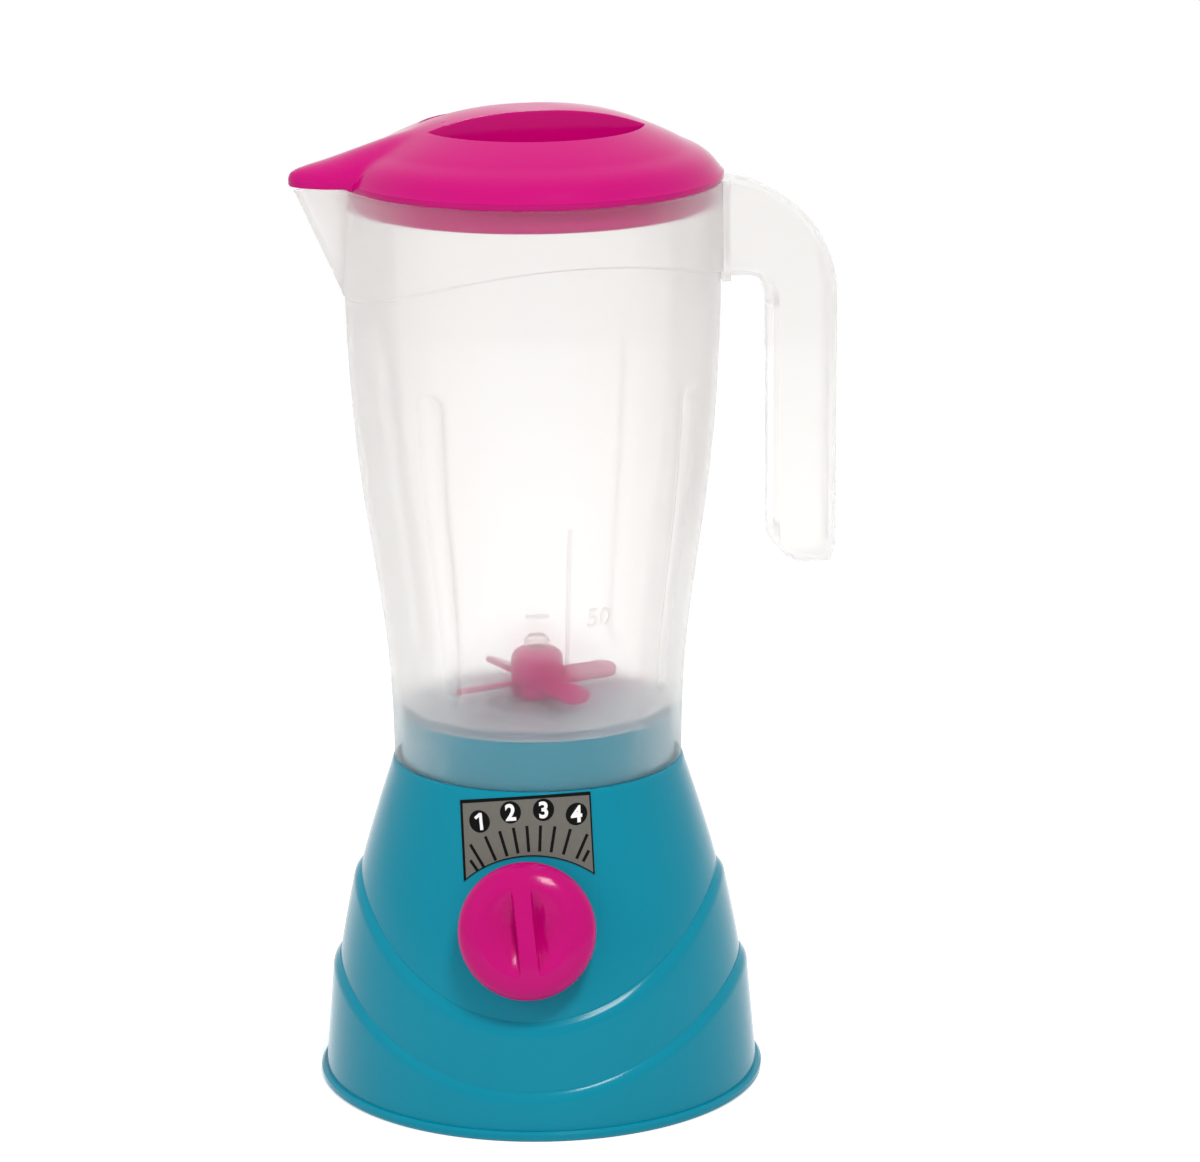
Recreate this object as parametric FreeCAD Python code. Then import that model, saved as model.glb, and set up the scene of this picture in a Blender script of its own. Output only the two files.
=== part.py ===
"""Toy blender: a moulded base with a clicking dial knob, a lift-off jug with a free-spinning
blade rotor, a hooked handle and a lift-off lid. Millimetres, +Z up, the foot at Z = 0, the
base's axis on the Z axis and its knob facing -Y. The jug stands turned on its round collar,
so everything on the jug is drawn with its handle along +X and then turned."""

import FreeCAD
import Part
import math
import os
from FreeCAD import Rotation, Vector

# Driving dimensions, base. An outline is a list of (radius, height) points.
foot_r = 45.5
foot_h = 2.0
shoulder_z = 67.5
base_wall = 2.0
foot_inner_r = 41.0
core_r = 42.8
core_top_z = 6.0
collar_r = 27.4
collar_top_z = 77.2
collar_chamfer = 1.0
lower_tier = [(44.4, 2.0), (43.2, 16.0), (42.0, 30.0)]
middle_tier = [(43.2, 5.0), (41.3, 24.0), (37.2, 46.0)]
upper_tier = [(42.2, 5.0), (39.5, 28.0), (36.5, 44.0), (33.1, 56.0), (29.4, 67.5)]
lower_wave_r = 64.0
lower_wave_z = 9.7
lower_wave_half_span = 46.0
upper_wave_r = 43.4
upper_wave_z = 23.2
upper_wave_half_span = 43.0
bevel_h = 3.0
bevel_depth = 0.8

# Driving dimensions, knob and click work
knob_z = 41.4
knob_tilt_deg = 16.0
knob_r = 13.7
knob_back = 0.9
knob_side_top = 3.0
knob_crown = 7.4
knob_wall = 1.6
dish_r = 8.6
dish_depth = 3.0
grip_w = 3.6
grip_lean_deg = 6.5
stem_r = 3.0
running_gap = 0.06
boss_r = 6.0
boss_end = -9.0
ratchet_teeth = 12
ratchet_r = 8.4
tooth_h = 1.2
ratchet_w = 2.4
leaf_t = 0.8
leaf_w = 2.0
inner_rib_x = 16.3
inner_rib_t = 1.6
inner_rib_back_y = -18.0
inner_rib_low_z = 30.0
hub_collar_r = 5.0
drive_half = 1.9
fit = 0.03
wheel_top = boss_end - 0.2
nose_half = 4.0
knob_screw_r = 1.05
knob_screw_head_r = 2.8

# Driving dimensions, bottom cover and its screws
post_ring_r = 31.0
post_r = 3.4
post_count = 4
post_foot_z = 6.0
post_top_z = 22.0
web_t = 1.6
screw_r = 1.5
screw_head_r = 2.9
screw_head_z = 1.0
screw_seat_z = 3.2
screw_tip_z = 16.0
screw_play = 0.3
rim_chamfer = 0.5
locating_ring_t = 1.5
locating_ring_h = 3.0
locating_ring_gap = 0.9
brace_t = 1.4
brace_h = 2.0
plate_hub_r = 9.0

# Driving dimensions, label
label_t = 0.25
label_corners = [(-13.7, 64.9), (11.9, 66.5), (13.1, 51.6), (-12.9, 50.1)]
label_notch_z = 55.7

# Driving dimensions, jug
jug_turn_deg = 15.0
jug_wall = 1.4
floor_z = 79.0
rim_z = 185.6
jug_outline = [(29.2, shoulder_z), (29.5, 79.0), (30.4, 92.0), (32.5, 108.0), (34.8, 124.0),
               (36.4, 140.0), (37.3, 158.0), (37.3, 185.6)]
band_r = 37.9
band_edge_spout_z = 163.5
band_edge_front_z = 174.0
band_edge_handle_z = 166.5
flute_low_z = 86.5
flute_top_z = 145.5
flute_low_half_w = 1.8
flute_top_half_w = 3.0
flute_depth = 1.0
spout_root = 34.0
spout_reach = 47.6
spout_half_w = 6.9
spout_low_z = 163.0
spout_low_reach = 37.6
spout_low_half_w = 3.2
spout_nose_half_w = 0.8
spout_wall = 1.2
skirt_r = 29.2
floor_t = 1.5

# Driving dimensions, handle
handle_t = 9.5
handle_chamfer = 0.9
handle_pad_margin = 1.2
handle_in = 48.5
handle_out = 61.6
handle_wall = 1.5
handle_root_r = 39.6
handle_bend_r = 24.6
handle_top_z = 184.6
handle_under_z = 165.0
handle_low_z = 105.0
handle_inner_r = 6.0
handle_heel_r = 7.0

# Driving dimensions, rotor and the stub it spins on
hub_r = 5.3
hub_low_z = 79.4
hub_top_z = 89.5
hub_shoulder = 2.4
hub_chamfer = 0.8
stub_r = 2.2
stub_head_r = 2.55
stub_top_z = 92.4
blade_tip_r = 18.4
blade_z = 82.8
blade_half_w = 2.8
blade_neck = 1.8
blade_t = 1.3
blade_pitch_deg = 18.5
blade_turn_deg = 19.0

# Driving dimensions, lid
lid_r = 38.1
lid_wall = 1.5
dome = [(38.1, 186.6), (36.3, 189.0), (30.5, 192.7), (25.4, 195.2), (19.3, 197.6), (8.0, 199.9), (0.0, 200.0)]
plug_r = 35.6
plug_low_z = 180.7
plug_t = 1.3
above_lid_z = 210.0
well_r = 22.5
well_floor_z = 190.0
bar_half_w = 5.5
beak_sections = [(22.0, 10.0, 195.5), (31.0, 9.5, 194.0), (39.0, 7.6, 191.2), (45.5, 4.2, 188.9),
                 (48.4, 1.6, 187.5)]
beak_facets = 8

origin = Vector(0, 0, 0)
up = Vector(0, 0, 1)


# Shapes used by several pieces


def lathe(outline):
    """Turn a closed outline of (radius, height) points round the Z axis."""
    spots = [Vector(r, 0, z) for r, z in outline]
    face = Part.Face(Part.makePolygon(spots + spots[:1]))
    return face.revolve(origin, up, 360)


def disc(radius, z0, z1):
    return Part.makeCylinder(radius, z1 - z0, Vector(0, 0, z0))


def tube(r_out, r_in, z0, z1):
    return disc(r_out, z0, z1).cut(disc(r_in, z0, z1))


def block(x0, x1, y0, y1, z0, z1):
    return Part.makeBox(x1 - x0, y1 - y0, z1 - z0, Vector(x0, y0, z0))


def inset(outline, by):
    return [(r - by, z) for r, z in outline]


def filled(outline):
    """A turned solid body inside an outline of wall points."""
    return lathe([(0, outline[0][1])] + outline + [(0, outline[-1][1])])


def upright_prism(edges, depth):
    """A closed XZ outline, thickened evenly both ways along Y."""
    face = Part.Face(Part.Wire(Part.__sortEdges__(edges)))
    prism = face.extrude(Vector(0, depth, 0))
    prism.translate(Vector(0, -depth / 2, 0))
    return prism


def side_lines(points):
    spots = [Vector(x, 0, z) for x, z in points]
    return [Part.makeLine(a, b) for a, b in zip(spots, spots[1:])]


def side_arc(start, through, end):
    return Part.Arc(*[Vector(x, 0, z) for x, z in (start, through, end)]).toShape()


def turned(shape, degrees):
    copy = shape.copy()
    copy.rotate(origin, up, degrees)
    return copy


def one_solid(shape):
    """The single solid of a cut or fused shape, with its split faces merged."""
    return max(shape.removeSplitter().Solids, key=lambda s: s.Volume)


def radius_at(outline, z):
    spots = sorted((h, r) for r, h in outline)
    for (h0, r0), (h1, r1) in zip(spots, spots[1:]):
        if z <= h1:
            return r0 + (r1 - r0) * (z - h0) / (h1 - h0)
    return spots[-1][1]


# The knob's own frame: +Z along the knob's axis out of the wall, +Y up the wall

knob_frame = FreeCAD.Placement(
    Vector(0, -radius_at(upper_tier, knob_z), knob_z),
    Rotation(Vector(1, 0, 0), 90 - knob_tilt_deg),
)


def on_knob_axis(shape):
    copy = shape.copy()
    copy.Placement = knob_frame.multiply(copy.Placement)
    return copy


# Base housing


def under_wave(wave_r, wave_z, half_span):
    """All that lies below a wave crease, which is one arc seen from the front."""
    end_z = wave_z + wave_r - math.sqrt(wave_r ** 2 - half_span ** 2)
    crease = side_arc((half_span, end_z), (0, wave_z), (-half_span, end_z))
    sides = side_lines([(-half_span, end_z), (-half_span, 0), (half_span, 0), (half_span, end_z)])
    return upright_prism([crease] + sides, 3 * foot_r)


def tier(outline, wave_r, wave_z, half_span):
    """One stepped tier of the housing, with the edge of its crease bevelled."""
    body = one_solid(filled(outline).common(under_wave(wave_r, wave_z, half_span)))
    crease = [e for e in body.Edges if e.Curve.TypeId == "Part::GeomBSplineCurve"]
    return body.makeChamfer(bevel_h, bevel_depth, crease)


def post_spots():
    for i in range(post_count):
        angle = math.radians(45 + 360 / post_count * i)
        yield Vector(post_ring_r * math.cos(angle), post_ring_r * math.sin(angle), 0)


def posts_and_webs():
    """Screw posts, each joined to the wall behind it by an upright web."""
    made = []
    for i, spot in enumerate(post_spots()):
        made.append(Part.makeCylinder(post_r, post_top_z - post_foot_z, spot + Vector(0, 0, post_foot_z)))
        web = block(post_ring_r + post_r / 2, foot_r, -web_t / 2, web_t / 2, post_foot_z, post_top_z)
        made.append(turned(web, 45 + 360 / post_count * i))
    return made


def base_cavity():
    """The hollow of the bell and of its collar."""
    inner = inset(upper_tier, base_wall)
    inner[0] = (inner[0][0], 0)
    inner[-1] = (inner[-1][0], shoulder_z - base_wall)
    bell = filled(inner)
    return bell.fuse(disc(collar_r - base_wall, shoulder_z - 2 * base_wall, collar_top_z - base_wall))


def base_housing():
    collar = lathe([(0, shoulder_z - base_wall), (collar_r, shoulder_z - base_wall),
                    (collar_r, collar_top_z - collar_chamfer), (collar_r - collar_chamfer, collar_top_z),
                    (0, collar_top_z)])
    outer = filled(upper_tier).fuse([
        tier(lower_tier, lower_wave_r, lower_wave_z, lower_wave_half_span),
        tier(middle_tier, upper_wave_r, upper_wave_z, upper_wave_half_span),
        disc(core_r, foot_h, core_top_z),
        collar,
    ])
    shell = one_solid(outer).cut(base_cavity()).cut(disc(foot_r, -foot_h, foot_h))
    inside = [on_knob_axis(disc(boss_r, boss_end, 1.0))]
    for side in (-1, 1):
        x = side * inner_rib_x
        inside.append(block(x - inner_rib_t / 2, x + inner_rib_t / 2, -foot_r, inner_rib_back_y,
                            inner_rib_low_z, shoulder_z))
    inside += posts_and_webs()
    within = filled([(foot_inner_r, foot_h)] + inset(upper_tier, base_wall / 2)[1:])
    shell = shell.fuse([piece.common(within) for piece in inside])
    holes = [on_knob_axis(disc(stem_r + running_gap, 4 * boss_end, 20))]
    holes += [Part.makeCylinder(screw_r + 0.05, screw_tip_z, s) for s in post_spots()]
    holes += [on_knob_axis(leaf_body(leaf_t + fit, inner_rib_x + 3))]
    holes.append(on_knob_axis(disc(ratchet_r + tooth_h, boss_end - 4 * ratchet_w, boss_end)))
    return one_solid(shell.cut(Part.makeCompound(holes)))


# Bottom cover and its screws


def base_plate():
    """The bottom cover: a flat disc with a locating ring, braces and a seat at each screw."""
    plate = lathe([(0, 0), (foot_r - rim_chamfer, 0), (foot_r, rim_chamfer), (foot_r, foot_h - rim_chamfer),
                   (foot_r - rim_chamfer, foot_h), (0, foot_h)])
    ring_r = radius_at(upper_tier, core_top_z) - base_wall - locating_ring_gap
    ring = tube(ring_r, ring_r - locating_ring_t, foot_h, foot_h + locating_ring_h)
    seats = [Part.makeCylinder(post_r + 2, post_foot_z, s) for s in post_spots()]
    brace = block(plate_hub_r - 1, ring_r - 0.5, -brace_t / 2, brace_t / 2, foot_h, foot_h + brace_h)
    braces = [turned(brace, 360 / post_count * i) for i in range(post_count)]
    hub = tube(plate_hub_r, plate_hub_r - brace_t, foot_h, foot_h + brace_h)
    plate = plate.fuse([ring, hub] + seats + braces)
    holes = []
    for s in post_spots():
        holes.append(Part.makeCylinder(screw_r + screw_play, 2 * post_foot_z, s))
        holes.append(Part.makeCylinder(screw_head_r + screw_play, screw_seat_z, s))
    return one_solid(plate.cut(Part.makeCompound(holes)))


def cross_head_screw(shank_r, head_r, head_h, shank_len):
    """A pan head screw, head up from Z = 0, shank down, with a cross recess."""
    head = lathe([(0, 0), (head_r, 0), (head_r, head_h * 0.5), (head_r * 0.8, head_h), (0, head_h)])
    shank = disc(shank_r, -shank_len, 0)
    arm = head_r * 0.62
    slot_half = head_r * 0.12
    cross = block(-arm, arm, -slot_half, slot_half, head_h * 0.35, 2 * head_h)
    return one_solid(head.fuse(shank).cut(cross.fuse(turned(cross, 90))))


def base_screws():
    """The four bottom screws, heads down in their counterbores."""
    screws = []
    head_h = screw_seat_z - screw_head_z
    for s in post_spots():
        screw = cross_head_screw(screw_r, screw_head_r, head_h, screw_tip_z - screw_seat_z - 1)
        screw.rotate(origin, Vector(1, 0, 0), 180)
        screw.translate(s + Vector(0, 0, screw_seat_z))
        screws.append(screw)
    return Part.makeCompound(screws)


# Label


def dial_label():
    """A thin printed label on the wall, straight on three sides and hollowed round the knob."""
    top_left, top_right, low_right, low_left = label_corners
    frame = side_lines([low_left, top_left, top_right, low_right])
    frame.append(side_arc(low_right, (0.6, label_notch_z), low_left))
    window = upright_prism(frame, 120)
    skin = filled(inset(upper_tier, -label_t)).cut(filled(upper_tier))
    front = block(-50, 50, -60, 0, 40, shoulder_z - 0.2)
    return one_solid(skin.common(window).common(front))


# Knob, drawn in its own frame


def knob_top(radius):
    """The height of the knob's domed face, which drops to its side wall at the rim."""
    return knob_side_top + (knob_crown - knob_side_top) * math.sqrt(1 - (radius / knob_r) ** 3)


def dish_bottom(radius):
    """The height of the round dish in the knob's face."""
    ball_r = (dish_r ** 2 + dish_depth ** 2) / (2 * dish_depth)
    return knob_top(dish_r) - dish_depth + ball_r - math.sqrt(ball_r ** 2 - radius ** 2)


def control_knob():
    """A domed knob with a dish in its face, a grip bar across the dish, and its stem."""
    face = [(r, knob_top(r)) for r in (knob_r, 0.965 * knob_r, 0.84 * knob_r, dish_r, dish_r / 2, 0)]
    dome = lathe([(0, knob_back), (knob_r - 0.5, knob_back), (knob_r, knob_back + 0.5)] + face)
    bowl = [(r, dish_bottom(r)) for r in (0, 0.3 * dish_r, 0.6 * dish_r, 0.85 * dish_r, dish_r)]
    dish = lathe(bowl + [(dish_r, 2 * knob_crown), (0, 2 * knob_crown)])
    dish = dish.cut(block(-grip_w / 2, grip_w / 2, -knob_r, knob_r, 0, 3 * knob_crown))
    dish.rotate(origin, up, grip_lean_deg)
    under = tube(knob_r - knob_wall, hub_collar_r, knob_back - 1, knob_back + 2.2)
    hub = disc(hub_collar_r, 0.3, knob_back + 0.5)
    stem = disc(stem_r, wheel_top, knob_back + 1)
    drive = disc(stem_r, wheel_top - ratchet_w, wheel_top)
    drive = drive.common(block(-stem_r, stem_r, -drive_half, drive_half, 4 * boss_end, 0))
    pilot = disc(knob_screw_r, 2 * boss_end, boss_end / 2)
    knob = dome.cut(dish).cut(under).fuse([hub, stem, drive]).cut(pilot)
    return on_knob_axis(one_solid(knob))


def click_wheel():
    """A twelve-tooth wheel on the flatted end of the knob's stem."""
    top = wheel_top - fit
    spots = []
    for i in range(2 * ratchet_teeth):
        r = ratchet_r if i % 2 == 0 else ratchet_r - tooth_h
        angle = math.pi * (i + 1) / ratchet_teeth + math.pi / 2
        spots.append(Vector(r * math.cos(angle), r * math.sin(angle), top - ratchet_w))
    wheel = Part.Face(Part.makePolygon(spots + spots[:1])).extrude(Vector(0, 0, ratchet_w))
    flat_half = drive_half + fit
    flat = disc(stem_r + fit, top - 2 * ratchet_w, top + 2 * ratchet_w)
    flat = flat.common(block(-knob_r, knob_r, -flat_half, flat_half, 4 * boss_end, 0))
    return on_knob_axis(one_solid(wheel.cut(flat)))


def leaf_body(thickness, half_span):
    """The spring strip above the wheel: two straight arms and a nose down in the top valley."""
    arm_y = ratchet_r + 2.4
    nose_y = ratchet_r - tooth_h + 0.15
    z0 = wheel_top - fit - ratchet_w / 2 - leaf_w / 2
    centre = [(-half_span, arm_y), (-nose_half, arm_y), (0, nose_y + leaf_t / 2), (nose_half, arm_y),
              (half_span, arm_y)]
    lower = [Vector(x, y - thickness / 2, z0) for x, y in centre]
    upper = [Vector(x, y + thickness / 2, z0) for x, y in reversed(centre)]
    face = Part.Face(Part.makePolygon(lower + upper + lower[:1]))
    return face.extrude(Vector(0, 0, leaf_w))


def click_spring():
    return on_knob_axis(leaf_body(leaf_t, inner_rib_x + 0.6))


def knob_screw():
    screw = cross_head_screw(knob_screw_r - fit, knob_screw_head_r, 1.6, 4.5)
    screw.rotate(origin, Vector(1, 0, 0), 180)
    screw.translate(Vector(0, 0, wheel_top - fit - ratchet_w))
    return on_knob_axis(screw)


# Jug


def band_region():
    """All that lies above the band's lower edge, an arch seen from the front."""
    arch = side_arc((-band_r, band_edge_spout_z), (0, band_edge_front_z), (band_r, band_edge_handle_z))
    above = rim_z + 10
    sides = side_lines([(band_r, band_edge_handle_z), (band_r, above), (-band_r, above),
                        (-band_r, band_edge_spout_z)])
    return upright_prism([arch] + sides, 3 * band_r)


def flute(extra):
    """A tapered round-ended bar lying along the wall at +X, grown by extra all round."""
    ends = []
    for z, half_w in ((flute_low_z, flute_low_half_w), (flute_top_z, flute_top_half_w)):
        bar_r = (half_w ** 2 + flute_depth ** 2) / (2 * flute_depth)
        axis_r = radius_at(jug_outline, z) + bar_r - flute_depth
        ends.append((Vector(axis_r, 0, z), bar_r + extra))
    (low, low_r), (top, top_r) = ends
    span = top - low
    bar = Part.makeCone(low_r, top_r, span.Length, low, span)
    return bar.fuse([Part.makeSphere(low_r, low), Part.makeSphere(top_r, top)])


def spout_wedge(by):
    """The V of the spout towards -X, drawn in by a wall thickness all round."""
    top = rim_z + (1.0 if by else 0.0)

    def ring(z, reach, half_w):
        side = [Vector(-spout_root, half_w, z), Vector(-reach + 1, spout_nose_half_w, z),
                Vector(-reach, 0, z)]
        other = [Vector(p.x, -p.y, z) for p in reversed(side[:-1])]
        return Part.makePolygon(side + other + side[:1])
    low = ring(spout_low_z + 2 * by, spout_low_reach - by, spout_low_half_w - by)
    return Part.makeLoft([low, ring(top, spout_reach - 1.6 * by, spout_half_w - by)], True, True)


def jug_shell():
    """The jug in one moulding: wall, raised band, spout, flutes, skirt, floor and the rotor's stub."""
    wall = filled(jug_outline)
    band = disc(band_r, band_edge_spout_z - 1, rim_z).common(band_region())
    cavity_line = inset(jug_outline, jug_wall)[1:]
    cavity_line[0] = (cavity_line[0][0], floor_z)
    cavity_line[-1] = (cavity_line[-1][0], rim_z + 5)
    cavity = filled(cavity_line)
    flute_spots = [45 + 90 * i for i in range(4)]
    backing = [turned(flute(jug_wall), a).common(wall) for a in flute_spots]
    body = wall.fuse([band, spout_wedge(0)]).cut(cavity).cut(spout_wedge(spout_wall))
    body = body.fuse(backing).cut(Part.makeCompound([turned(flute(0), a) for a in flute_spots]))
    body = body.cut(disc(skirt_r - jug_wall, 0, floor_z - floor_t))
    stub = lathe([(0, floor_z - floor_t / 2), (stub_r, floor_z - floor_t / 2), (stub_r, hub_top_z + 0.15),
                  (stub_head_r, hub_top_z + 0.5), (stub_head_r, stub_top_z - 1.2),
                  (stub_r - 0.5, stub_top_z - 0.2), (0, stub_top_z)])
    return turned(one_solid(body.fuse(stub)), jug_turn_deg)


# Handle


def handle_outline(by):
    """The hook seen from the side, drawn in by a wall thickness all round."""
    out_x = handle_out - by
    in_x = handle_in + by
    top_z = handle_top_z - by
    under_z = handle_under_z + by
    low_z = handle_low_z + by
    root_x = handle_root_r - 3
    bend = handle_bend_r - by
    cx = handle_out - handle_bend_r
    cz = handle_top_z - handle_bend_r
    inner = handle_inner_r + by
    heel = handle_heel_r - by
    diag = math.sqrt(0.5)
    edges = side_lines([(root_x, top_z), (cx, top_z)])
    edges.append(side_arc((cx, top_z), (cx + bend * diag, cz + bend * diag), (out_x, cz)))
    edges += side_lines([(out_x, cz), (out_x, low_z + 4), (out_x - 1.2, low_z), (in_x + heel, low_z)])
    edges.append(side_arc((in_x + heel, low_z), (in_x + heel * (1 - diag), low_z + heel * (1 - diag)),
                          (in_x, low_z + heel)))
    edges += side_lines([(in_x, low_z + heel), (in_x, under_z - inner)])
    edges.append(side_arc((in_x, under_z - inner), (in_x - inner * (1 - diag), under_z - inner * (1 - diag)),
                          (in_x - inner, under_z)))
    edges += side_lines([(in_x - inner, under_z), (root_x, under_z), (root_x, top_z)])
    return edges


def jug_handle():
    """A hollow hook, open along its inner side, on a pad moulded to the jug's band."""
    hook = upright_prism(handle_outline(0), handle_t)
    long_edges = [e for e in hook.Edges if abs(abs(e.CenterOfMass.y) - handle_t / 2) < 1e-6
                  and e.BoundBox.XMin > handle_root_r - 2]
    hook = hook.makeChamfer(handle_chamfer, long_edges)
    clear_half = handle_t / 2 - handle_wall
    hollow = upright_prism(handle_outline(handle_wall), 2 * clear_half)
    mouth = block(handle_in - handle_wall, handle_in + 2 * handle_wall, -clear_half, clear_half,
                  handle_low_z + handle_heel_r + 1, handle_under_z - handle_inner_r - 1)
    hook = hook.cut(hollow).cut(mouth)
    pad_half = handle_t / 2 + handle_pad_margin
    pad = disc(handle_root_r, handle_under_z - 0.8, handle_top_z).common(
        block(band_r / 2, handle_out, -pad_half, pad_half, 0, rim_z))
    hook = hook.fuse(pad).cut(disc(band_r, shoulder_z, rim_z + 10))
    return turned(one_solid(hook), jug_turn_deg)


# Rotor


def blade():
    """One blade along +X: a rounded paddle, pitched about its own length."""
    root = hub_r - 1.5
    full = hub_r + 3
    tip_x = blade_tip_r - blade_half_w
    near = [Vector(root, -blade_neck, 0), Vector(full, -blade_half_w, 0), Vector(tip_x, -blade_half_w, 0)]
    far = [Vector(p.x, -p.y, 0) for p in reversed(near)]
    tip = Part.Arc(near[-1], Vector(blade_tip_r, 0, 0), far[0]).toShape()
    edges = [Part.makeLine(a, b) for a, b in zip(near, near[1:])] + [tip]
    edges += [Part.makeLine(a, b) for a, b in zip(far, far[1:] + near[:1])]
    paddle = Part.Face(Part.Wire(edges)).extrude(Vector(0, 0, blade_t))
    paddle.translate(Vector(0, 0, -blade_t / 2))
    paddle.rotate(origin, Vector(1, 0, 0), blade_pitch_deg)
    paddle.translate(Vector(0, 0, blade_z))
    return paddle


def blade_rotor():
    """A hub with a round shoulder and four pitched blades, bored to spin on the jug's stub."""
    shoulder = []
    for i in range(4):
        angle = math.pi / 6 * i
        shoulder.append((hub_r - hub_shoulder * (1 - math.cos(angle)),
                         hub_top_z - hub_shoulder * (1 - math.sin(angle))))
    hub = lathe([(0, hub_low_z), (hub_r - hub_chamfer, hub_low_z), (hub_r, hub_low_z + hub_chamfer)]
                + shoulder + [(0, hub_top_z)])
    blades = [turned(blade(), blade_turn_deg + 90 * i) for i in range(4)]
    rotor = hub.fuse(blades).cut(disc(stub_r + running_gap, 70, 100))
    return turned(one_solid(rotor), jug_turn_deg)


# Lid


def beak(by):
    """The lid's beak over the spout, a ridge that falls and narrows towards its nose."""
    low_z = rim_z + 0.7
    rings = []
    for reach, half_w, top_z in beak_sections:
        half_w = max(half_w - by, 0.6)
        tall = top_z - by - low_z
        spots = []
        for i in range(beak_facets + 1):
            angle = math.pi / beak_facets * i
            spots.append(Vector(-reach + by, half_w * math.cos(angle), low_z + tall * math.sin(angle)))
        rings.append(Part.makePolygon(spots + spots[:1]))
    return Part.makeLoft(rings, True, True)


def finger_wells():
    """Two D-shaped wells, one each side of the grip bar."""
    well = lathe([(0, well_floor_z), (well_r - 1, well_floor_z), (well_r, well_floor_z + 1),
                  (well_r, above_lid_z), (0, above_lid_z)])
    return well.cut(block(-lid_r, lid_r, -bar_half_w, bar_half_w, rim_z, above_lid_z))


def lid():
    """A hollow dome with a beak, two wells with the grip bar between them, and a plug ring."""
    brim = [(0, rim_z), (band_r - 0.2, rim_z), (lid_r, rim_z + 0.3)]
    outer = lathe(brim + dome).fuse(beak(0))
    inner_dome = [(r - lid_wall, z - lid_wall) for r, z in dome[1:-1]]
    inner = lathe([(0, rim_z - 1), (inner_dome[0][0], rim_z - 1)] + inner_dome + [(0, inner_dome[-1][1])])
    jacket = disc(well_r + lid_wall, well_floor_z - lid_wall, above_lid_z)
    hollow_half = bar_half_w - lid_wall
    jacket = jacket.cut(block(-lid_r, lid_r, -hollow_half, hollow_half, plug_low_z, 2 * above_lid_z))
    shell = outer.cut(inner.cut(jacket)).cut(finger_wells())
    plug_inner_r = plug_r - plug_t
    plug = lathe([(plug_inner_r, plug_low_z), (plug_r - 0.4, plug_low_z), (plug_r, plug_low_z + 1),
                  (plug_r, rim_z + 1), (plug_inner_r, rim_z + 1)])
    return turned(one_solid(shell.fuse(plug)), jug_turn_deg)


pieces = {
    "base_housing": base_housing,
    "base_plate": base_plate,
    "base_screws": base_screws,
    "dial_label": dial_label,
    "control_knob": control_knob,
    "click_wheel": click_wheel,
    "click_spring": click_spring,
    "knob_screw": knob_screw,
    "jug_shell": jug_shell,
    "jug_handle": jug_handle,
    "blade_rotor": blade_rotor,
    "lid": lid,
}


def main():
    os.makedirs("parts", exist_ok=True)
    for name, make in pieces.items():
        shape = make()
        shape.exportStep("parts/" + name + ".step")
        print(name, "valid" if shape.isValid() else "NOT VALID", len(shape.Solids), round(shape.Volume))


main()
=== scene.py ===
"""Toy blender, dressed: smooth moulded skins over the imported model, its dial label and its finishes.
Lengths are in millimetres until a mesh is made. The base's front is -Y. The jug, rotor and lid are
drawn with the handle along +X and then turned by jug_turn, as they stand on the base."""

import math

import bmesh
import bpy
import numpy as np
from mathutils import Matrix, Vector


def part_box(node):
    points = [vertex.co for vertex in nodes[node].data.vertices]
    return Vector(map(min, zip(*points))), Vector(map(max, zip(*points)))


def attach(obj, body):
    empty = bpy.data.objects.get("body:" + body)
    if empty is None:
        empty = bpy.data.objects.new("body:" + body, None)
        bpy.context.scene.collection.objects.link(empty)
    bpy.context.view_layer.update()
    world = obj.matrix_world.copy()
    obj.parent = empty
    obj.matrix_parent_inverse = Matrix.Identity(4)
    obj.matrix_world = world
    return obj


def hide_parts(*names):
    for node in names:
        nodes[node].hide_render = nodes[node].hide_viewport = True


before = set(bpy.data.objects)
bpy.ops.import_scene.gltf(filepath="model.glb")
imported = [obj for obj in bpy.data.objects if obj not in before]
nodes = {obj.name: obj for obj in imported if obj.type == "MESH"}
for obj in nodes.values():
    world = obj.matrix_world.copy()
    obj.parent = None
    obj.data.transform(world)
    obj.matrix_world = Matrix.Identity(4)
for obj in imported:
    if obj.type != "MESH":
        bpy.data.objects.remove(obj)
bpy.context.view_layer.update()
mm = 0.001
weld_m = 1e-7
sharp_angle = math.radians(35)


def node_mm(name):
    """A node's box, lowest and highest corner, in millimetres."""
    low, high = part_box(name)
    return low / mm, high / mm


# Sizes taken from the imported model
foot_h = node_mm("base_housing")[0].z
collar_top_z = node_mm("base_housing")[1].z
rim_z = node_mm("jug_shell")[1].z
skirt_z = node_mm("jug_shell")[0].z
plug_low_z = node_mm("lid")[0].z

# A soft moulded edge: how far it reaches, and how far its middle point lies in
edge_soft = 0.4
edge_soft_mid = 0.12

# Base: outlines are (height, radius)
shoulder_z = skirt_z
base_wall = 2.0
collar_r = 27.4
collar_edge_r = 1.0
lower_tier = [(2.0, 44.4), (16.0, 43.2), (30.0, 42.0)]
middle_tier = [(5.0, 43.2), (24.0, 41.3), (46.0, 37.2)]
upper_tier = [(5.0, 42.2), (28.0, 39.5), (44.0, 36.5), (56.0, 33.1), (67.5, 29.4)]
lower_wave_r = 64.0
lower_wave_z = 9.7
upper_wave_r = 43.4
upper_wave_z = 23.2

# Wave edges: the wall curls in over bevel_h, then rounds on to the ledge
bevel_h = 2.8
bevel_depth = 0.95
bevel_curl = 2.2
ledge_round = 0.3
least_ledge = 0.05

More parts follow.
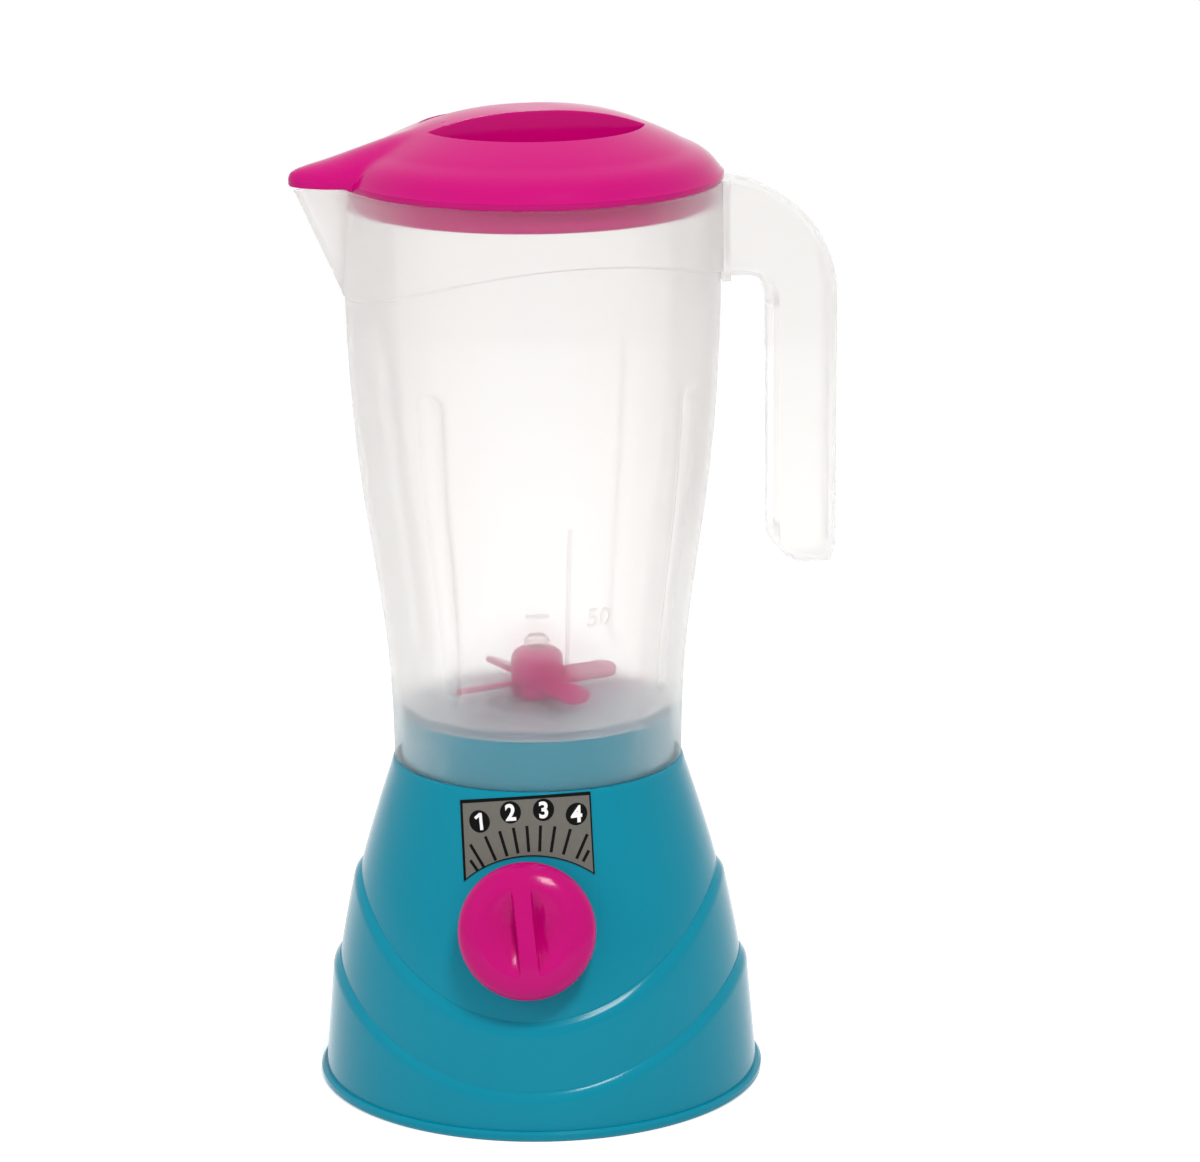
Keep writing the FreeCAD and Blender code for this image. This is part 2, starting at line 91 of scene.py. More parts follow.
# Sink marks: two faint upright hollows, with extra columns of faces at these degrees
sink_mark_x = (-18.9, 13.6)
sink_mark_z = (37.0, 62.0)
sink_mark_half_w = 0.45
sink_mark_depth = 0.05
sink_mark_end = 4
sink_mark_arcs = ((234, 243), (289.5, 297))

# Label: corners run from the top left one clockwise, seen from the front
label_corners = [(-13.9, 65.2), (12.1, 67.2), (13.1, 51.6), (-12.9, 50.1)]
label_bow = 0.72
label_notch = (0.6, 55.7)
label_t = 0.25
label_root = 0.1
face_margins = (0.5, 0.28, 0.55, 0.2)
face_lift = 0.03
mark_lift = 0.06
numeral_lift = 0.07
numeral_t = 0.05

# The label's fan of ticks and discs: angles are degrees clockwise from upright
fan_centre = (1.8, 38.1)
tick_low_r = 18.5
tick_top_r = 23.4
tick_w = 0.6
tick_step = 6.6
tick_spread = 0.055
tick_lean = -5.2
short_ticks = [(-34.5, 18.7, 21.0), (34.3, 18.5, 20.8)]
disc_ring_r = 26.35
disc_r = 2.1
disc_first = -26.2
disc_step = 14.35
numeral_h = 3.2
numeral_stroke = 0.62
numeral_bold = 0.1
numeral_lean = 7
numeral_lean_step = -1.5

# Knob: heights run out from the wall along its axis
knob_z = 41.4
knob_tilt = math.radians(16)
knob_r = 13.7
knob_back = 0.9
knob_side_top = 3.0
knob_crown = 7.4
knob_dish_r = 9.4
knob_dish_depth = 3.1
knob_dish_curl = 1.5
knob_well_wall = 0.55
knob_edge = 0.5
knob_edge_mid = 0.15
knob_wall = 1.6
knob_hollow_top = knob_back + 2.2
knob_boss_r = 5.0
knob_boss_low = 0.3
grip_half_w = 1.65
grip_lean = math.radians(6.5)
stem_r = 3.0
stem_low = -9.2
stem_tip_r = 1.9
stem_tip_low = -11.6

# Jug: its outline is (height, radius)
jug_turn = math.radians(15)
jug_wall = 1.4
skirt_r = 29.2
floor_z = 79.0
floor_t = 1.5
floor_corner = 1.5
jug_outline = [
    (67.5, 29.2), (79.0, 29.5), (92.0, 30.4), (108.0, 32.5), (124.0, 34.8), (140.0, 36.4), (158.0, 37.3),
    (185.6, 37.3)]
rim_round = 0.5
band_step = 0.6
band_soft = 0.3
band_r = 37.9
band_arch = [(-37.9, 163.5), (0.0, 174.0), (37.9, 166.5)]
flute_low_z = 86.5
flute_top_z = 145.5
flute_low_half_w = 1.9
flute_top_half_w = 3.1
flute_depth = 1.0
flute_curl = 1.3

# Heights between which the jug's wall takes fine rows of faces, for the flutes
fine_low_z = 84
fine_top_z = 150

# Spout: a V along -X whose ridge leans out from low to the rim
spout_low_z = 163.0
spout_reach_low = 37.6
spout_reach_top = 47.6
spout_half_low = 3.2
spout_half_top = 6.9
spout_wall = 1.2
spout_ridge_draw = 1.6
spout_nose = 1.2
spout_nose_half = 0.9
spout_root = 34.0
spout_span = 0.5
spout_blend = 0.3

# Stub that the rotor turns on
stub_r = 2.2
stub_head_r = 2.55
stub_top_z = 92.4
stub_foot = 0.3

# Level mark: boxes are left, right, low and top on the jug's front wall
mark_bar = (-0.55, 0.35, 94.0, 122.2)
mark_dash = (-8.5, -3.9, 104.0, 104.7)
mark_number_h = 3.8
mark_number_spot = (6.4, 103.5, 0.1)
mark_number_t = 0.3
mark_root = 0.1
mark_relief = 0.25

# Rotor
hub_r = 5.3
hub_low_z = 79.4
hub_top_z = 89.5
hub_play = 0.06
hub_shoulder = 2.4
hub_foot = 1.0
blade_count = 4
blade_root = hub_r - 1.5
blade_tip_r = 18.4
blade_z = 82.8
blade_root_half_w = 1.8
blade_half_w = 2.8
blade_thin_half_w = 0.7
blade_widening = 4
blade_t = 1.3
blade_pitch = math.radians(18.5)
blade_turn = math.radians(19)

# Lid: dome and beak_ridge are (distance from the axis, height)
lid_r = 38.1
lid_wall = 1.5
dome = [(0.0, 200.0), (8.0, 199.8), (19.3, 197.6), (25.4, 195.2), (30.5, 192.7), (36.3, 189.0), (38.1, 186.6)]
beak_ridge = [
    (18.0, 196.6), (27.4, 195.2), (34.5, 193.1), (41.4, 191.0), (45.2, 190.0), (47.4, 189.2), (48.3, 188.5),
    (48.6, 187.8)]
beak_start = beak_ridge[0][0]
beak_root = 37.0
beak_tip = 48.6
beak_half_w = 8.0
beak_curl = 1.6
beak_flare = 0.15
beak_rise = 0.7
beak_blend = 0.9
plug_r = 35.6
plug_t = 1.3
well_r = 22.5
well_floor_z = 190.0
well_wall = 1.1
bar_half_w = 5.5


# Curves and grids


def smooth_curve(points):
    """A function that passes smoothly through (place, value) points."""
    place, value = np.array(sorted(points), float).T
    slope = np.gradient(value, place)

    def at(x):
        x = np.clip(x, place[0], place[-1])
        i = np.clip(np.searchsorted(place, x) - 1, 0, len(place) - 2)
        step = place[i + 1] - place[i]
        t = (x - place[i]) / step
        start = value[i] * (1 + 2 * t) + slope[i] * step * t
        end = value[i + 1] * (3 - 2 * t) + slope[i + 1] * step * (t - 1)
        return start * (1 - t) ** 2 + end * t ** 2

    return at


def smooth_step(x):
    """Eases from nought to one as x goes from nought to one."""
    x = np.clip(x, 0.0, 1.0)
    return x * x * (3 - 2 * x)


def smooth_max(a, b, soft):
    """The larger of two values, blended over soft where they cross."""
    return 0.5 * (a + b + np.sqrt((a - b) ** 2 + soft ** 2))


def arc_height(points):
    """The height over x of the one circle through three (x, height) points."""
    (x0, z0), (x1, z1), (x2, z2) = points
    system = np.array([[x1 - x0, z1 - z0], [x2 - x0, z2 - z0]]) * 2
    target = np.array([x1 ** 2 - x0 ** 2 + z1 ** 2 - z0 ** 2, x2 ** 2 - x0 ** 2 + z2 ** 2 - z0 ** 2])
    cx, cz = np.linalg.solve(system, target)
    radius = math.hypot(x0 - cx, z0 - cz)
    side = 1 if z1 > cz else -1
    return lambda x: cz + side * np.sqrt(radius ** 2 - (x - cx) ** 2)


def arc_spots(centre_r, centre_z, radius, start, end, count):
    """(radius, height) spots along part of a circle, from one angle in degrees to another."""
    return [(centre_r + radius * math.cos(a), centre_z + radius * math.sin(a))
            for a in np.radians(np.linspace(start, end, count))]


def ring(radius, angles, height):
    """One closed row of points, counted anticlockwise from +X."""
    radius = np.broadcast_to(radius, angles.shape)
    height = np.broadcast_to(height, angles.shape)
    return np.stack([radius * np.cos(angles), radius * np.sin(angles), height], axis=1)


def lathe(outline, angles):
    """Closed rows round the axis, one for each (radius, height) spot of an outline."""
    return [ring(r, angles, z) for r, z in outline]


class Skin:
    """Grids of points that weld where their edges meet, made into one closed mesh."""

    def __init__(self):
        self.points = []
        self.faces = []

    def grid(self, rows, closed=False):
        """Adds faces between rows of points; in a closed grid each row's end meets its start."""
        rows = np.array(rows, float)
        down, across = rows.shape[:2]
        start = len(self.points)
        self.points.extend(rows.reshape(-1, 3).tolist())
        for i in range(down - 1):
            for j in range(across if closed else across - 1):
                a = start + i * across + j
                b = start + i * across + (j + 1) % across
                self.faces.append((a, b, b + across, a + across))
        return self

    def join(self, other):
        start = len(self.points)
        self.points.extend(other.points)
        self.faces.extend(tuple(start + i for i in face) for face in other.faces)
        return self

    def place(self, matrix):
        """Moves all points by a matrix in millimetres."""
        points = np.array(self.points)
        matrix = np.array(matrix)
        self.points = (points @ matrix[:3, :3].T + matrix[:3, 3]).tolist()
        return self

    def bend(self, mapping):
        """Moves each point by a function of its three values."""
        self.points = [mapping(*p) for p in self.points]
        return self

    def piece(self, name, body, material, slot, replaces=()):
        """Welds the grids into a mesh and hangs it on its body, with its material. The slot is not used."""
        mesh = bpy.data.meshes.new(name)
        mesh.from_pydata([[c * mm for c in p] for p in self.points], [], self.faces)
        work = bmesh.new()
        work.from_mesh(mesh)
        bmesh.ops.remove_doubles(work, verts=work.verts, dist=weld_m)
        bmesh.ops.recalc_face_normals(work, faces=work.faces)
        work.to_mesh(mesh)
        work.free()
        mesh.shade_smooth()
        mesh.set_sharp_from_angle(angle=sharp_angle)
        mesh.materials.append(material)
        piece = bpy.data.objects.new(name, mesh)
        bpy.context.scene.collection.objects.link(piece)
        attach(piece, body)
        if replaces:
            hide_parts(*replaces)
        return piece


def slab(grid, low, high, closed=False):
    """A closed slab over a grid of (x, z) spots; its third value is the lift off the wall."""
    def lifted(spots, lift):
        return np.concatenate([spots, np.full(spots.shape[:2] + (1,), lift)], axis=2)

    top, base = lifted(grid, high), lifted(grid, low)
    skin = Skin().grid(top, closed).grid(base, closed)
    edges = [(top[0], base[0]), (top[-1], base[-1])]
    if not closed:
        edges += [(top[:, 0], base[:, 0]), (top[:, -1], base[:, -1])]
    for upper, lower in edges:
        skin.grid([upper, lower], closed)
    return skin


# Finishes


def new_material(name, colour, rough, **sockets):
    """A material whose shader sockets are given by name, with a low line for each space."""
    material = bpy.data.materials.new(name)
    material.use_nodes = True
    shader = material.node_tree.nodes["Principled BSDF"]
    shader.inputs["Base Color"].default_value = (*colour, 1)
    shader.inputs["Roughness"].default_value = rough
    for socket, value in sockets.items():
        shader.inputs[socket.replace("_", " ")].default_value = value
    return material, material.node_tree, shader


def add_noise(tree, scale_per_m, detail, stretch=(1, 1, 1)):
    """A noise value fixed to the piece itself, so that it stays in place when the piece moves."""
    place = tree.nodes.new("ShaderNodeTexCoord")
    mapping = tree.nodes.new("ShaderNodeMapping")
    mapping.inputs["Scale"].default_value = stretch
    noise = tree.nodes.new("ShaderNodeTexNoise")
    noise.inputs["Scale"].default_value = scale_per_m
    noise.inputs["Detail"].default_value = detail
    tree.links.new(place.outputs["Object"], mapping.inputs["Vector"])
    tree.links.new(mapping.outputs["Vector"], noise.inputs["Vector"])
    return noise.outputs["Fac"]


def vary_rough(tree, shader, noise, low, high):
    spread = tree.nodes.new("ShaderNodeMapRange")
    spread.inputs["To Min"].default_value = low
    spread.inputs["To Max"].default_value = high
    tree.links.new(noise, spread.inputs["Value"])
    tree.links.new(spread.outputs["Result"], shader.inputs["Roughness"])


def add_bump(tree, shader, noise, height_mm, strength):
    bump = tree.nodes.new("ShaderNodeBump")
    bump.inputs["Strength"].default_value = strength
    bump.inputs["Distance"].default_value = height_mm * mm
    tree.links.new(noise, bump.inputs["Height"])
    tree.links.new(bump.outputs["Normal"], shader.inputs["Normal"])


def vary_colour(tree, shader, noise, dark, light):
    mix = tree.nodes.new("ShaderNodeMix")
    mix.data_type = "RGBA"
    mix.inputs["A"].default_value = (*dark, 1)
    mix.inputs["B"].default_value = (*light, 1)
    tree.links.new(noise, mix.inputs["Factor"])
    tree.links.new(mix.outputs["Result"], shader.inputs["Base Color"])


def moulded_plastic(name, dark, light, rough, shine):
    """Glossy moulded plastic: slow colour drift, faint flow waves and uneven gloss."""
    material, tree, shader = new_material(name, light, rough, Specular_IOR_Level=shine)
    slow = add_noise(tree, scale_per_m=22, detail=2)
    vary_colour(tree, shader, slow, dark, light)
    fine = add_noise(tree, scale_per_m=260, detail=3)
    vary_rough(tree, shader, fine, rough * 0.8, rough * 1.35)
    flow = add_noise(tree, scale_per_m=60, detail=2, stretch=(1, 1, 0.35))
    add_bump(tree, shader, flow, height_mm=0.02, strength=0.5)
    return material


def milky_plastic(name, dark, light, through, least_veil, stretch):
    """Milky polypropylene: part of the light goes straight through, the rest scatters, more so at a slant."""
    most_veil = 0.62
    material, tree, shader = new_material(
        name, light, 0.42, Transmission_Weight=through, IOR=1.3, Coat_Weight=0.3, Coat_Roughness=0.1)
    haze = add_noise(tree, scale_per_m=30, detail=3, stretch=stretch)
    vary_colour(tree, shader, haze, dark, light)
    facing = tree.nodes.new("ShaderNodeLayerWeight")
    facing.inputs["Blend"].default_value = 0.5
    veil = tree.nodes.new("ShaderNodeMapRange")
    veil.inputs["To Min"].default_value = least_veil
    veil.inputs["To Max"].default_value = most_veil
    tree.links.new(facing.outputs["Facing"], veil.inputs["Value"])
    tree.links.new(veil.outputs["Result"], shader.inputs["Alpha"])
    fine = add_noise(tree, scale_per_m=90, detail=2, stretch=stretch)
    add_bump(tree, shader, fine, height_mm=0.02, strength=0.5)
    return material


def plain_finish(name, dark, light, rough, metal=0.0, shine=0.5):
    """An even finish with a fine grain in its colour, gloss and surface."""
    material, tree, shader = new_material(name, light, rough, Metallic=metal, Specular_IOR_Level=shine)
    noise = add_noise(tree, scale_per_m=900, detail=3)
    vary_colour(tree, shader, noise, dark, light)
    vary_rough(tree, shader, noise, rough * 0.85, rough * 1.25)
    add_bump(tree, shader, noise, height_mm=0.01, strength=0.4)
    return material


teal = moulded_plastic(
    "teal_plastic", dark=(0.0, 0.232, 0.335), light=(0.0, 0.268, 0.380), rough=0.13, shine=0.13)
magenta = moulded_plastic(
    "magenta_plastic", dark=(0.50, 0.0, 0.152), light=(0.56, 0.0, 0.185), rough=0.13, shine=0.14)
milky = milky_plastic(
    "milky_plastic", dark=(0.83, 0.80, 0.77), light=(0.86, 0.835, 0.805), through=0.86, least_veil=0.29,
    stretch=(1, 1, 0.35))
# A copy of the milky plastic for the jug's floor, which is the same plastic as the wall: its blue-grey tint
# is painted light, the teal base's cast through the floor, and its cloudier veil paints the floor lighter
milky_floor_painted_cast = milky_plastic(
    "milky_floor_painted_cast", dark=(0.84, 0.87, 0.90), light=(0.90, 0.93, 0.96), through=0.45, least_veil=0.44,
    stretch=(0.35, 1.6, 1))
label_grey = plain_finish("label_grey", (0.140, 0.136, 0.118), (0.160, 0.155, 0.136), 0.5, shine=0.12)
label_black = plain_finish("label_black", (0.001, 0.001, 0.001), (0.003, 0.003, 0.003), 0.5, shine=0.08)
label_white = plain_finish("label_white", (0.86, 0.86, 0.84), (0.93, 0.93, 0.91), 0.5, shine=0.12)
inner_white = plain_finish("inner_white", (0.72, 0.72, 0.69), (0.8, 0.8, 0.77), 0.35)
zinc = plain_finish("zinc_plate", (0.42, 0.43, 0.45), (0.62, 0.62, 0.62), 0.3, metal=1.0)


# Base

upper_radius = smooth_curve(upper_tier)
middle_radius = smooth_curve(middle_tier)
lower_radius = smooth_curve(lower_tier)


def wave_height(wave_r, wave_z, radius, angles):
    """A crease's height at each angle: one arc seen from the front, wrapped round the wall."""
    z = np.full_like(angles, wave_z)
    for _ in range(40):
        x = radius(z) * np.cos(angles)
        z = (z + wave_z + wave_r - np.sqrt(wave_r ** 2 - x ** 2)) / 2
    return z


def tier_rows(radius, next_radius, low, high, angles, count):
    """Rows up one tier: the wall, its edge curling in, and the small ledge behind the edge."""
    rows = []
    for t in np.linspace(0, 1, count):
        z = low + (high - bevel_h - low) * t
        rows.append(ring(radius(z), angles, z))
    for t in np.linspace(0, 1, 10)[1:]:
        z = high - bevel_h * (1 - t) - ledge_round * t
        rows.append(ring(radius(z) - bevel_depth * t ** bevel_curl, angles, z))
    edge_r = radius(high) - bevel_depth
    ledge = np.maximum(edge_r - next_radius(high), least_ledge)
    soft = np.minimum(ledge_round, ledge * 0.6)
    rows.append(ring(edge_r - soft * 0.3, angles, high - ledge_round + soft * 0.7))
    rows.append(ring(edge_r - soft, angles, high))
    rows.append(ring(next_radius(high), angles, high))
    return rows


def rib_sinks(radius, angles, z):
    """How deep the two sink marks over the click spring's ribs lie in the front wall."""
    x = radius * np.cos(angles)
    depth = 0
    for mark_x in sink_mark_x:
        across = np.exp(-((x - mark_x) / sink_mark_half_w) ** 2)
        low_end = smooth_step((z - sink_mark_z[0]) / sink_mark_end)
        top_end = smooth_step((sink_mark_z[1] - z) / sink_mark_end)
        depth = depth + sink_mark_depth * across * (low_end * top_end) * (np.sin(angles) < 0)
    return depth


def housing_skin():
    around = [np.linspace(0, 2 * math.pi, 480, endpoint=False)]
    around += [np.radians(np.linspace(low, high, 50)) for low, high in sink_mark_arcs]
    angles = np.unique(np.concatenate(around).round(6))
    low = np.full_like(angles, foot_h)
    lower_crease = wave_height(lower_wave_r, lower_wave_z, lower_radius, angles)
    upper_crease = wave_height(upper_wave_r, upper_wave_z, middle_radius, angles)

    # The inside, from the middle of its roof down to the foot
    inner_low_z = upper_tier[0][0]
    inner_collar_r = collar_r - base_wall
    inner = [(r, collar_top_z - base_wall) for r in (0, inner_collar_r)]
    inner += [(inner_collar_r, shoulder_z - base_wall)]
    inner += [(upper_radius(z) - base_wall, z) for z in np.linspace(shoulder_z - base_wall, inner_low_z, 12)]
    inner += [(upper_radius(inner_low_z) - base_wall, foot_h)]
    rows = lathe(inner, angles)

    # The outside, up the three tiers
    rows += tier_rows(lower_radius, middle_radius, low, lower_crease, angles, 10)
    rows += tier_rows(middle_radius, upper_radius, lower_crease, upper_crease, angles, 14)[1:]
    for t in np.linspace(0, 1, 26)[1:]:
        z = upper_crease + (shoulder_z - edge_soft - upper_crease) * t
        wall_r = upper_radius(z)
        rows.append(ring(wall_r - rib_sinks(wall_r, angles, z), angles, z))

    # The shoulder and the collar that carries the jug
    top_r = upper_radius(shoulder_z)
    collar = [(top_r - edge_soft_mid, shoulder_z - edge_soft_mid), (top_r - edge_soft, shoulder_z)]
    collar += [(collar_r, z) for z in (shoulder_z, shoulder_z + 3, collar_top_z - collar_edge_r)]
    collar += arc_spots(collar_r - collar_edge_r, collar_top_z - collar_edge_r, collar_edge_r, 0, 90, 7)[1:]
    collar += [(r, collar_top_z) for r in (18.0, 9.0, 0)]
    rows += lathe(collar, angles)
    skin = Skin().grid(rows, closed=True)
    skin.piece("housing_skin", "base", teal, "base_plastic", replaces=["base_housing"])


# Label


def on_wall(x, z, lift):
    """A spot of the base's front wall, seen from the front, lifted off it."""
    radius = upper_radius(z) + lift
    return (x, -math.sqrt(radius ** 2 - x ** 2), z)


def label_grid(left, right, top, low):
    """The label's outline, straight on three sides and hollow below, drawn in by four margins."""
    top_left, top_right, low_right, low_left = label_corners
    hollow = arc_height([low_left, label_notch, low_right])
    u, v = np.meshgrid(np.linspace(0, 1, 61), np.linspace(0, 1, 21), indexing="ij")
    x = top_left[0] + (top_right[0] - top_left[0]) * u
    for _ in range(8):
        roof = np.interp(x, (top_left[0], top_right[0]), (top_left[1], top_right[1]))
        roof = roof + label_bow * 4 * u * (1 - u)
        z = (hollow(np.clip(x, low_left[0], low_right[0])) + low) * (1 - v) + (roof - top) * v
        wall_l = np.interp(z, (low_left[1], top_left[1]), (low_left[0], top_left[0])) + left
        wall_r = np.interp(z, (low_right[1], top_right[1]), (low_right[0], top_right[0])) - right
        x = wall_l + (wall_r - wall_l) * u
    return np.stack([x, z], axis=2)


def stroke_grid(start, end, width):
    """A slim straight bar from one spot to another."""
    start, end = np.array(start), np.array(end)
    step = (end - start) / np.linalg.norm(end - start)
    side = np.array([step[1], -step[0]]) * width
    along = np.linspace(0, 1, 7)[:, None, None]
    across = np.linspace(-0.5, 0.5, 3)[None, :, None]
    return start + (end - start) * along + side * across


def disc_grid(centre, radius):
    """Rows round a disc, from its edge to a pinhole in the middle."""
    pinhole = 0.02
    angles = np.linspace(0, 2 * math.pi, 48, endpoint=False)
    rows = []
    for r in np.linspace(radius, pinhole, 6):
        rows.append(np.stack([centre[0] + r * np.cos(angles), centre[1] + r * np.sin(angles)], axis=1))
    return np.array(rows)


def text_skin(text, height, bold, thick):
    """A number's closed mesh, drawn flat round its middle: x, z and then the lift."""
    curve = bpy.data.curves.new("numeral", "FONT")
    curve.body = text
    curve.size = height
    curve.offset = bold
    curve.extrude = thick / 2
    holder = bpy.data.objects.new("numeral", curve)
    bpy.context.scene.collection.objects.link(holder)
    graph = bpy.context.evaluated_depsgraph_get()
    mesh = bpy.data.meshes.new_from_object(holder.evaluated_get(graph))
    skin = Skin()
    skin.points = [list(v.co) for v in mesh.vertices]
    skin.faces = [tuple(p.vertices) for p in mesh.polygons]
    bpy.data.objects.remove(holder)
    bpy.data.curves.remove(curve)
    bpy.data.meshes.remove(mesh)
    low = np.min(skin.points, axis=0)
    high = np.max(skin.points, axis=0)
    scale = height / (high[1] - low[1])
    skin.place(Matrix.Diagonal((scale, scale, 1, 1)) @ Matrix.Translation(Vector(-(low + high) / 2)))
    return skin


def numeral_one(height, thick):
    """A one with a slanting flag, which the built-in letters lack."""
    half = height / 2
    stem_x = 0.3
    flag_start = (-0.85, half - 1.0)
    flag_end = (0.2, half - 0.25)
    stem = stroke_grid((stem_x, -half), (stem_x, half), numeral_stroke)
    flag = stroke_grid(flag_start, flag_end, numeral_stroke * 0.9)
    return slab(stem, -thick / 2, thick / 2).join(slab(flag, -thick / 2, thick / 2))


def fan_spot(angle, radius):
    """A spot of the label's fan: x and z."""
    return fan_centre[0] + radius * math.sin(angle), fan_centre[1] + radius * math.cos(angle)


def dial_label():
    """A black sheet whose edge shows round the grey face, with ticks, discs and four numerals on it."""
    sheet = slab(label_grid(0, 0, 0, 0), -label_root, label_t).bend(on_wall)
    sheet.piece("label_sheet", "base", label_black, "label", replaces=["dial_label"])
    face = slab(label_grid(*face_margins), 0.0, label_t + face_lift).bend(on_wall)
    face.piece("label_face", "base", label_grey, "label")
    marks = Skin()
    mark_top = label_t + mark_lift
    rays = [(tick_step * k + tick_spread * k ** 3, tick_low_r, tick_top_r) for k in range(-4, 5)]
    for degrees, low_r, top_r in rays + short_ticks:
        angle = math.radians(degrees + tick_lean)
        bar = stroke_grid(fan_spot(angle, low_r), fan_spot(angle, top_r), tick_w)
        marks.join(slab(bar, label_t, mark_top))
    disc_angles = [math.radians(disc_first + disc_step * i) for i in range(4)]
    for angle in disc_angles:
        marks.join(slab(disc_grid(fan_spot(angle, disc_ring_r), disc_r), label_t, mark_top, closed=True))
    marks.bend(on_wall).piece("label_marks", "base", label_black, "label")
    for i, angle in enumerate(disc_angles):
        if i == 0:
            numeral = numeral_one(numeral_h, numeral_t)
        else:
            numeral = text_skin(str(i + 1), numeral_h, numeral_bold, numeral_t)
        x, z = fan_spot(angle, disc_ring_r)
        lean = Matrix.Rotation(math.radians(numeral_lean + numeral_lean_step * i), 4, "Z")
        numeral.place(Matrix.Translation((x, z, label_t + numeral_lift)) @ lean)
        numeral.bend(on_wall).piece("label_numeral_" + str(i + 1), "base", label_white, "label")


# Bar and wells, a form that the knob and the lid share


def barred_wells(skin, circle_r, bar_half, top, floor, wall, cells):
    """A bar across a circle with a D-shaped well on each side. Returns the angles of its rim."""
    arc_cells, end_cells, chord_cells = cells
    corner = math.asin(bar_half / circle_r)
    half_ends = np.linspace(-corner, corner, end_cells + 1)
    arc = np.linspace(corner, math.pi - corner, arc_cells + 1)
    across = circle_r * np.sin(half_ends)
    along = np.linspace(-1, 1, chord_cells + 1)
    reach = circle_r * np.cos(half_ends)
    bar = np.array([[(s * r, y, top(s * r, y)) for s in along] for y, r in zip(across, reach)])
    skin.grid(bar)
    wall_gaps = list(np.linspace(0, wall, 15))
    floor_gaps = [wall * 1.5, wall * 2.4, wall * 4]
    for side in (1, -1):
        rows = []
        for gap in wall_gaps + floor_gaps:
            radius = circle_r - gap
            chord_y = bar_half + gap
            turn = math.asin(chord_y / radius)
            a = np.linspace(turn, math.pi - turn, arc_cells + 1)
            x = np.concatenate([radius * np.cos(a), along[1:-1] * radius * math.cos(turn)])
            y = np.concatenate([radius * np.sin(a), np.full(chord_cells - 1, chord_y)]) * side
            depth = smooth_step(gap / wall)
            z = top(x, y) * (1 - depth) + floor(x, y) * depth
            rows.append(np.stack([x, y, z], axis=1))
        middle = rows[-1].mean(axis=0)
        middle[2] = floor(middle[0], middle[1])
        rows.append(np.repeat([middle], len(rows[0]), axis=0))
        skin.grid(rows, closed=True)
    return np.concatenate([half_ends[:-1], arc[:-1], half_ends[:-1] + math.pi, arc[:-1] + math.pi])


# Knob


def knob_top(x, y):
    """The height of the knob's crown, which the grip bar follows."""
    r = np.minimum(np.hypot(x, y) / knob_r, 1)
    return knob_side_top + (knob_crown - knob_side_top) * np.sqrt(1 - r ** 3)


def knob_dish(x, y):
    """The height of the dished face on both sides of the grip bar."""
    share = np.clip((x ** 2 + y ** 2) / knob_dish_r ** 2, 0, 1)
    return knob_top(x, y) - knob_dish_depth * (1 - share) ** knob_dish_curl


def control_knob():
    skin = Skin()
    angles = barred_wells(skin, knob_dish_r, grip_half_w, knob_top, knob_dish, knob_well_wall, (96, 16, 48))
    rows = []
    for t in np.linspace(0, 1, 26):
        r = knob_dish_r + (knob_r - knob_dish_r) * math.sin(t * math.pi / 2)
        rows.append(ring(r, angles, knob_top(r, 0)))
    under = [(knob_r, knob_back + knob_edge), (knob_r - knob_edge_mid, knob_back + knob_edge_mid)]
    under += [(knob_r - knob_edge, knob_back)]
    under += [(knob_r - knob_wall, z) for z in (knob_back, knob_hollow_top)]
    under += [(knob_boss_r, z) for z in (knob_hollow_top, knob_boss_low)]
    under += [(stem_r, z) for z in (knob_boss_low, stem_low)]
    under += [(stem_tip_r, z) for z in (stem_low, stem_tip_low)]
    under += [(0, stem_tip_low)]
    rows += lathe(under, angles)
    skin.grid(rows, closed=True)
    seat = Matrix.Translation((0, -float(upper_radius(knob_z)), knob_z))
    tilt = Matrix.Rotation(math.pi / 2 - knob_tilt, 4, "X")
    skin.place(seat @ tilt @ Matrix.Rotation(grip_lean + math.pi / 2, 4, "Z"))
    skin.piece("knob_skin", "knob", magenta, "accent_plastic", replaces=["control_knob"])


# Jug

wall_radius = smooth_curve(jug_outline)
jug_pose = Matrix.Rotation(jug_turn, 4, "Z")


def from_spout(angles):
    """The angle off the spout's ridge, which points along -X."""
    return np.abs((angles % (2 * math.pi)) - math.pi)


def spout_radius(angles, z, thin):
    """How far the V of the spout reaches along each ray, drawn in by thin."""
    low_z = spout_low_z + 2 * thin
    up = np.clip((z - low_z) / (rim_z - low_z), 0, 1)
    reach = spout_reach_low + (spout_reach_top - spout_reach_low) * up - spout_ridge_draw * thin
    half = spout_half_low + (spout_half_top - spout_half_low) * up - thin
    off = from_spout(angles)
    nose_x = reach - spout_nose
    run = spout_root - nose_x
    rise = half - spout_nose_half
    side = (nose_x * rise - spout_nose_half * run) / (np.cos(off) * rise - np.sin(off) * run)
    nose = reach * spout_nose_half / (np.cos(off) * spout_nose_half + np.sin(off) * (reach - nose_x))
    near = (off < spout_span) & (z > low_z)
    return np.where(near, np.minimum(side, nose), 0)


def flute_sink(angles, z):
    """How deep the four tapered, round-ended flutes press into the wall."""
    quarter = (angles - math.pi / 4) % (math.pi / 2)
    off = np.minimum(quarter, math.pi / 2 - quarter) * wall_radius(z)
    up = np.clip((z - flute_low_z) / (flute_top_z - flute_low_z), 0, 1)
    beyond = np.maximum(flute_low_z - z, 0) + np.maximum(z - flute_top_z, 0)
    half = flute_low_half_w + (flute_top_half_w - flute_low_half_w) * up
    inside = 1 - (off ** 2 + beyond ** 2) / half ** 2
    return flute_depth * np.clip(inside, 0, 1) ** flute_curl


def outer_radius(angles, z, band):
    """The outer wall, with band as the share of the raised band's step."""
    radius = wall_radius(z) + band_step * band - flute_sink(angles, z)
    return smooth_max(radius, spout_radius(angles, z, 0), spout_blend)


def inner_radius(angles, z):
    radius = wall_radius(z) - jug_wall - flute_sink(angles, z)
    return smooth_max(radius, spout_radius(angles, z, spout_wall), spout_blend)


